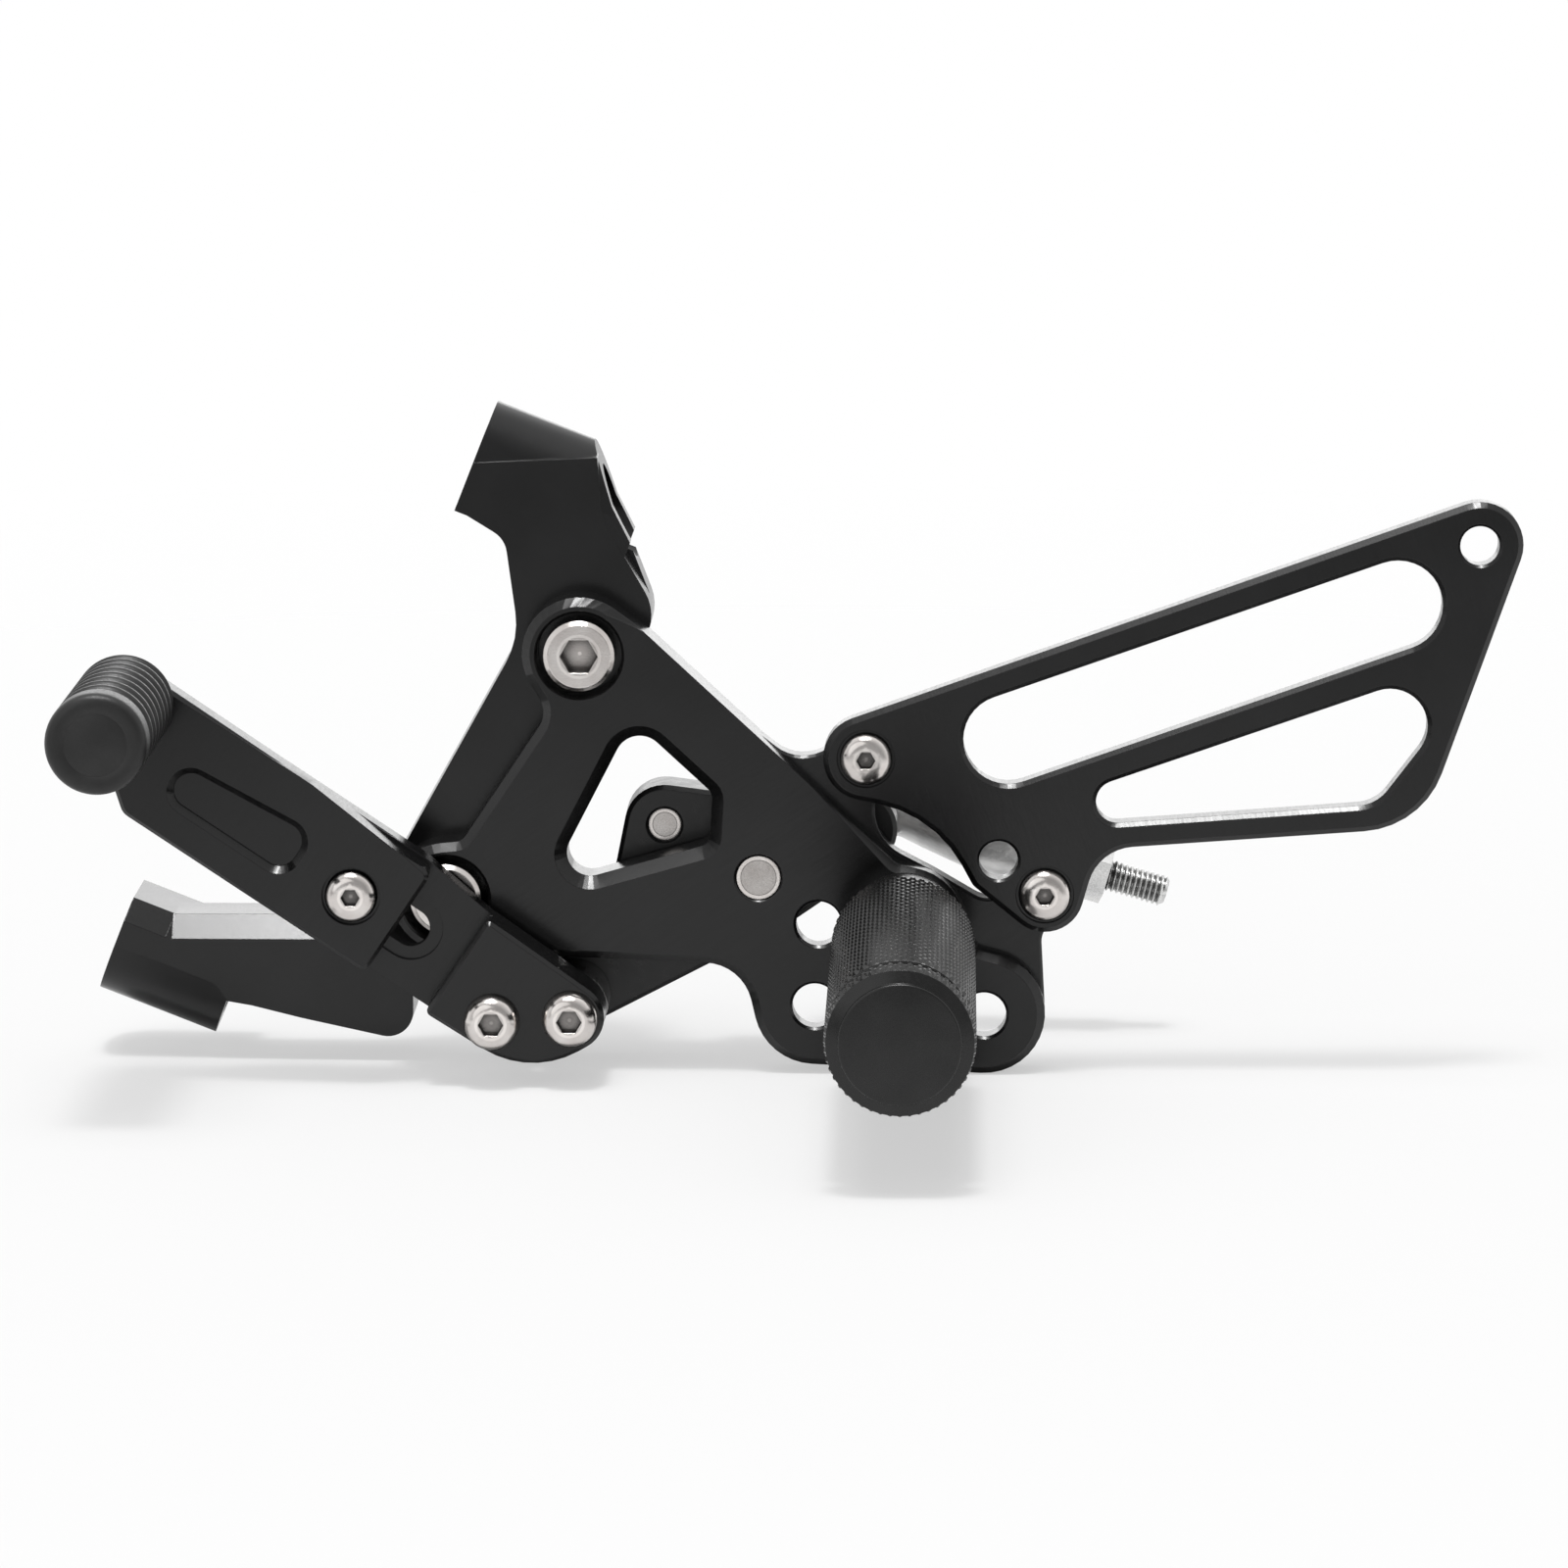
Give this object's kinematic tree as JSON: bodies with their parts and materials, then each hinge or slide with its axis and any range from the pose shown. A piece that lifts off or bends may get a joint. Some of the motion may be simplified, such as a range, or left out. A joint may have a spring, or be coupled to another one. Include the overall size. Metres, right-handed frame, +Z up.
{
  "type": "rear sets footrest",
  "caption": "Left-hand rearset for a motorbike: machined plates with a knurled foot peg, heel guard, adjustable shift lever on a pivot and a link rod end.",
  "frame": {"origin": "centre of the upper frame lug's seat face, on its bolt's axis", "axes": "+X towards the bike's rear, +Y inboard towards the frame, +Z up; the rider's boot is on the -Y side"},
  "size_m": [0.2615, 0.1531, 0.1216],
  "materials": {
    "black_alloy": "satin black anodised",
    "peg_alloy": "black anodised, knurled",
    "stainless": "polished stainless",
    "zinc_steel": "matt zinc plated",
    "bronze": "sintered bronze",
    "rubber": "moulded, matt"
  },
  "bodies": {
    "plate_and_bracket": {"main_plate": "black_alloy", "frame_bracket": "black_alloy", "bracket_bolt_upper": "stainless", "bracket_bolt_lower": "stainless", "heel_guard": "black_alloy", "guard_screw_upper": "stainless", "guard_screw_lower": "stainless", "peg_body": "peg_alloy", "peg_end_cap": "peg_alloy", "peg_collar": "peg_alloy", "peg_bolt": "stainless", "pivot_bolt": "stainless", "pivot_washer_outer": "stainless", "pivot_washer_inner": "stainless"},
    "shift_lever": {"shift_crank": "black_alloy", "pivot_bush": "bronze", "lever_base": "black_alloy", "lever_spacer_front": "stainless", "lever_spacer_rear": "stainless", "lever_screw_front": "stainless", "lever_screw_rear": "stainless", "spare_link_screw": "stainless", "link_spacer": "stainless", "rod_end_ball": "stainless", "rod_end_bolt": "stainless", "rod_end_washer": "stainless"},
    "toe_arm": {"toe_arm": "black_alloy", "clamp_screw": "stainless", "clamp_nut": "stainless", "toe_peg_core": "peg_alloy", "toe_peg_rubber": "rubber", "toe_peg_screw": "stainless"},
    "link_rod_end": {"rod_end_body": "zinc_steel", "rod_end_jam_nut": "stainless", "rod_end_stud": "stainless"}
  },
  "joints": [
    {"name": "shift_lever_pivot", "type": "hinge", "parent": "plate_and_bracket", "child": "shift_lever", "pos_m": [0.0522, 0.00025, -0.0752], "axis": [0, 1, 0], "range_deg": [-7, 3]},
    {"name": "toe_arm_slide", "type": "slide", "parent": "shift_lever", "child": "toe_arm", "axis": [0.831, 0, -0.5563], "range_m": [-0.011, 0.011]},
    {"name": "rod_end_swivel", "type": "hinge", "parent": "shift_lever", "child": "link_rod_end", "pos_m": [0.07006, 0.01975, -0.06816], "axis": [0, 1, 0], "continuous": true}
  ]
}
